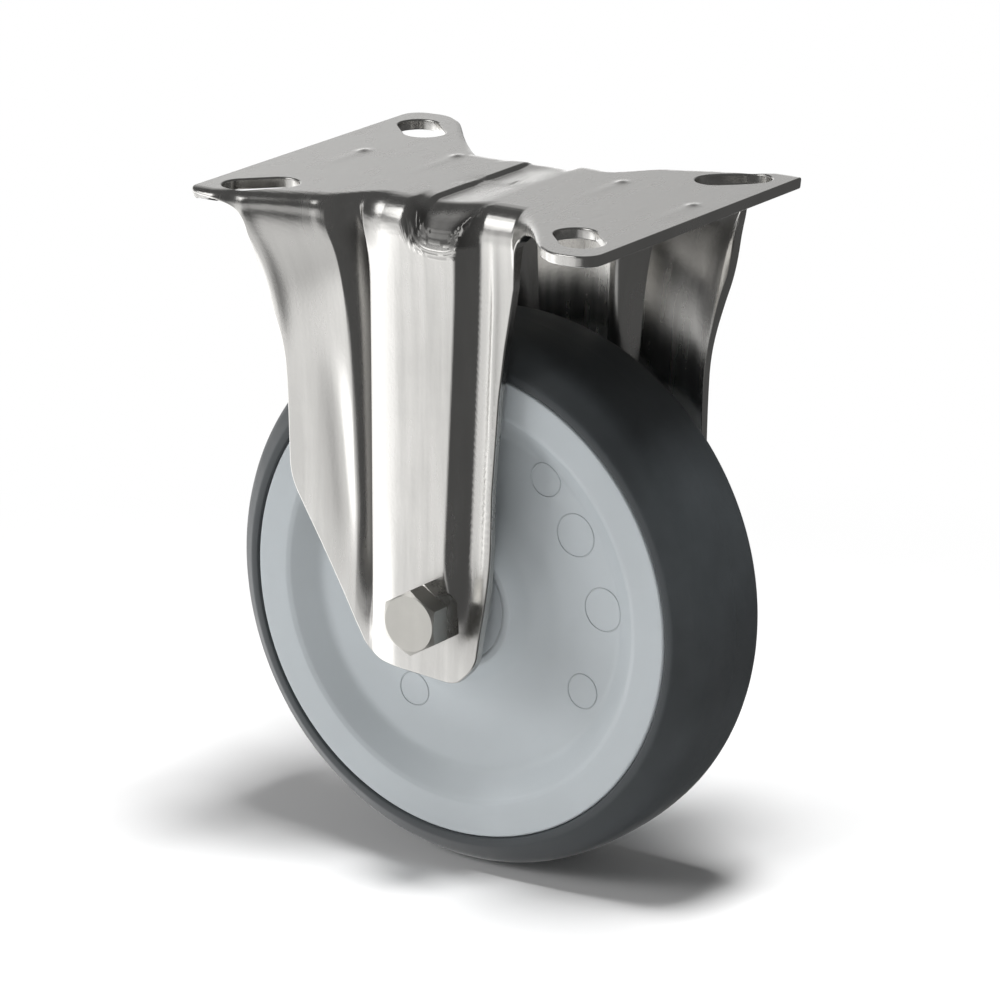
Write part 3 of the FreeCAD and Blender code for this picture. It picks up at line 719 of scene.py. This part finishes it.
def marks_tree():
    """Sweeps a fine line round each point, at the point's own radius."""
    tree = bpy.data.node_groups.new("mould_marks", "GeometryNodeTree")
    tree.interface.new_socket("Geometry", in_out="INPUT", socket_type="NodeSocketGeometry")
    tree.interface.new_socket("Line Radius", in_out="INPUT", socket_type="NodeSocketFloat")
    tree.interface.new_socket("Finish", in_out="INPUT", socket_type="NodeSocketMaterial")
    tree.interface.new_socket("Geometry", in_out="OUTPUT", socket_type="NodeSocketGeometry")
    nodes, links = tree.nodes, tree.links
    given = nodes.new("NodeGroupInput")
    circle = nodes.new("GeometryNodeCurvePrimitiveCircle")
    circle.inputs["Resolution"].default_value = 72
    circle.inputs["Radius"].default_value = 1.0
    size = nodes.new("GeometryNodeInputNamedAttribute")
    size.data_type = "FLOAT"
    size.inputs["Name"].default_value = "mark_radius"
    spread = nodes.new("GeometryNodeInstanceOnPoints")
    links.new(given.outputs["Geometry"], spread.inputs["Points"])
    links.new(circle.outputs["Curve"], spread.inputs["Instance"])
    spread.inputs["Rotation"].default_value = (math.pi / 2, 0, 0)
    links.new(size.outputs["Attribute"], spread.inputs["Scale"])
    real = nodes.new("GeometryNodeRealizeInstances")
    links.new(spread.outputs["Instances"], real.inputs["Geometry"])
    line = nodes.new("GeometryNodeCurvePrimitiveCircle")
    line.inputs["Resolution"].default_value = 10
    links.new(given.outputs["Line Radius"], line.inputs["Radius"])
    sweep = nodes.new("GeometryNodeCurveToMesh")
    links.new(real.outputs["Geometry"], sweep.inputs["Curve"])
    links.new(line.outputs["Curve"], sweep.inputs["Profile Curve"])
    smooth_shade = nodes.new("GeometryNodeSetShadeSmooth")
    links.new(sweep.outputs["Mesh"], smooth_shade.inputs["Geometry"])
    finish = nodes.new("GeometryNodeSetMaterial")
    links.new(smooth_shade.outputs["Geometry"], finish.inputs["Geometry"])
    links.new(given.outputs["Finish"], finish.inputs["Material"])
    made = nodes.new("NodeGroupOutput")
    links.new(finish.outputs["Geometry"], made.inputs["Geometry"])
    return tree


def make_marks():
    """The marks as one mesh, swept flat and then laid on the web's own face."""
    seeds = bpy.data.meshes.new("mould_mark_points")
    places = [(x * MM, 0, (z - axle_depth) * MM) for x, z, _ in mark_places]
    seeds.from_pydata(places, [], [])
    radii = seeds.attributes.new("mark_radius", "FLOAT", "POINT")
    radii.data.foreach_set("value", [radius * MM for _, _, radius in mark_places])
    source = bpy.data.objects.new("mould_mark_source", seeds)
    bpy.context.scene.collection.objects.link(source)
    tree = marks_tree()
    modifier = source.modifiers.new("marks", "NODES")
    modifier.node_group = tree
    inputs = {item.name: item.identifier for item in tree.interface.items_tree if item.in_out == "INPUT"}
    modifier[inputs["Line Radius"]] = mark_line_radius * MM
    modifier[inputs["Finish"]] = mark_shade_plastic
    graph = bpy.context.evaluated_depsgraph_get()
    mesh = bpy.data.meshes.new_from_object(source.evaluated_get(graph))
    source.modifiers.remove(modifier)
    bpy.data.objects.remove(source)
    for vertex in mesh.vertices:
        radius = math.hypot(vertex.co.x, vertex.co.z + axle_depth * MM) / MM
        vertex.co.y -= float(web_face(radius)) * MM
    piece = bpy.data.objects.new("mould_marks", mesh)
    bpy.context.scene.collection.objects.link(piece)
    return piece


# The marks' plastic is rougher than the web's, and darker as painted shade.
mark_shade_plastic = plastic("mark_shade_plastic", (0.4, 0.43, 0.45), 0.5, 0.05)
marks = make_marks()
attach(marks, "wheel")


# The bearing is kept in by a plastic ring pressed into each end of the boss. Both rings are moulded, in a grey
# plastic like the wheel's.
def dress(name, finish):
    """Gives a solid of the frame its finish."""
    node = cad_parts[name]
    node.data.materials.clear()
    node.data.materials.append(finish)


retainer_plastic = plastic("retainer_plastic", (0.4, 0.43, 0.45), 0.45, 0.04)
for name in ("retainer_near", "retainer_far"):
    dress(name, retainer_plastic)


# The tyre is soft grey rubber moulded over the rim, nearly flat across its middle with round shoulders. A
# faint parting line runs round it where the halves of its mould met.
tyre_half = [(54.1, 5.0, 0), (54.1, 15.5, 0.3), (54.5, 16.05, 0.3), (56.2, 15.9, 1.2), (61.6, 11.2, 7.0),
             (62.4, 5.0, 30.0)]


def rubber(name, colour):
    """Soft rubber: a dull, faintly cloudy skin with fine pores."""
    material, nodes, links, shader = new_material(name)
    shader.inputs["Specular IOR Level"].default_value = 0.42
    place = nodes.new("ShaderNodeTexCoord")
    hub = nodes.new("ShaderNodeMapping")
    hub.inputs["Location"].default_value = (0, 0, axle_depth * MM)
    links.new(place.outputs["Object"], hub.inputs["Vector"])
    drift = nodes.new("ShaderNodeTexNoise")
    drift.inputs["Scale"].default_value = 55.0
    drift.inputs["Detail"].default_value = 5.0
    drift.inputs["Roughness"].default_value = 0.6
    links.new(hub.outputs["Vector"], drift.inputs["Vector"])
    tone = nodes.new("ShaderNodeValToRGB")
    for stop, share in zip(tone.color_ramp.elements, (0.88, 1.14)):
        stop.color = tuple(c * share for c in colour) + (1,)
    tone.color_ramp.elements[0].position = 0.32
    tone.color_ramp.elements[1].position = 0.68
    links.new(drift.outputs["Fac"], tone.inputs["Fac"])
    links.new(tone.outputs["Color"], shader.inputs["Base Color"])
    gloss = nodes.new("ShaderNodeMapRange")
    gloss.inputs["From Min"].default_value = 0.3
    gloss.inputs["From Max"].default_value = 0.7
    gloss.inputs["To Min"].default_value = 0.42
    gloss.inputs["To Max"].default_value = 0.58
    links.new(drift.outputs["Fac"], gloss.inputs["Value"])
    links.new(gloss.outputs["Result"], shader.inputs["Roughness"])
    pores = nodes.new("ShaderNodeTexNoise")
    pores.inputs["Scale"].default_value = 1900.0
    pores.inputs["Detail"].default_value = 3.0
    links.new(hub.outputs["Vector"], pores.inputs["Vector"])
    relief = nodes.new("ShaderNodeBump")
    relief.inputs["Strength"].default_value = 0.16
    relief.inputs["Distance"].default_value = 0.00008
    links.new(pores.outputs["Fac"], relief.inputs["Height"])
    links.new(relief.outputs["Normal"], shader.inputs["Normal"])
    return material


def tyre_outline():
    """The tyre's outline with its two round shoulders and a faint parting line."""
    points = [(r, y) for r, y, _ in tyre_half] + [(62.47, 0.35), (62.5, 0.0), (62.47, -0.35)]
    points += [(r, -y) for r, y, _ in reversed(tyre_half)]
    radii = [c for _, _, c in tyre_half] + [0, 0, 0] + [c for _, _, c in reversed(tyre_half)]
    return rounded(points, radii, step=0.9)


tyre = lathe("tyre_tread", tyre_outline(), segments=360)
tyre_rubber = rubber("tyre_rubber", (0.048, 0.054, 0.058))
tyre.data.materials.append(tyre_rubber)
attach(tyre, "wheel")
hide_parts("tyre")


# The hex bolt passes through both legs and the tube between them. It and its nuts are forged and turned
# stainless steel, duller than the sheet.
bolt_steel = stainless("bolt_stainless", (0.5, 0.49, 0.46), 0.34, 2400.0, 0.2)
nut_steel = stainless("nut_stainless", (0.6, 0.59, 0.56), 0.28, 2000.0, 0.4)
tube_steel = stainless("tube_stainless", (0.55, 0.55, 0.54), 0.3, 1800.0, 0.7)
dress("axle_bolt", bolt_steel)
dress("head_side_nut", nut_steel)
dress("lock_nut", nut_steel)
dress("axle_tube", tube_steel)


# The lock nut's collar holds a blue plastic ring that grips the thread. The ring is moulded and sits in the
# collar all the way round the bolt.
insert_plastic = plastic("insert_plastic", (0.12, 0.2, 0.45), 0.4, 0.05)
dress("lock_nut_insert", insert_plastic)


# The bearing in the boss has ten plain rollers of hardened steel in a moulded cage of ivory plastic. The rollers
# run on the tube, inside the boss's bore.
cage_plastic = plastic("cage_plastic", (0.7, 0.68, 0.6), 0.45, 0.04)
roller_steel = stainless("roller_steel", (0.58, 0.58, 0.57), 0.16, 2800.0, 0.8)
dress("roller_cage", cage_plastic)
for index in range(10):
    dress("roller_%02d" % (index + 1), roller_steel)
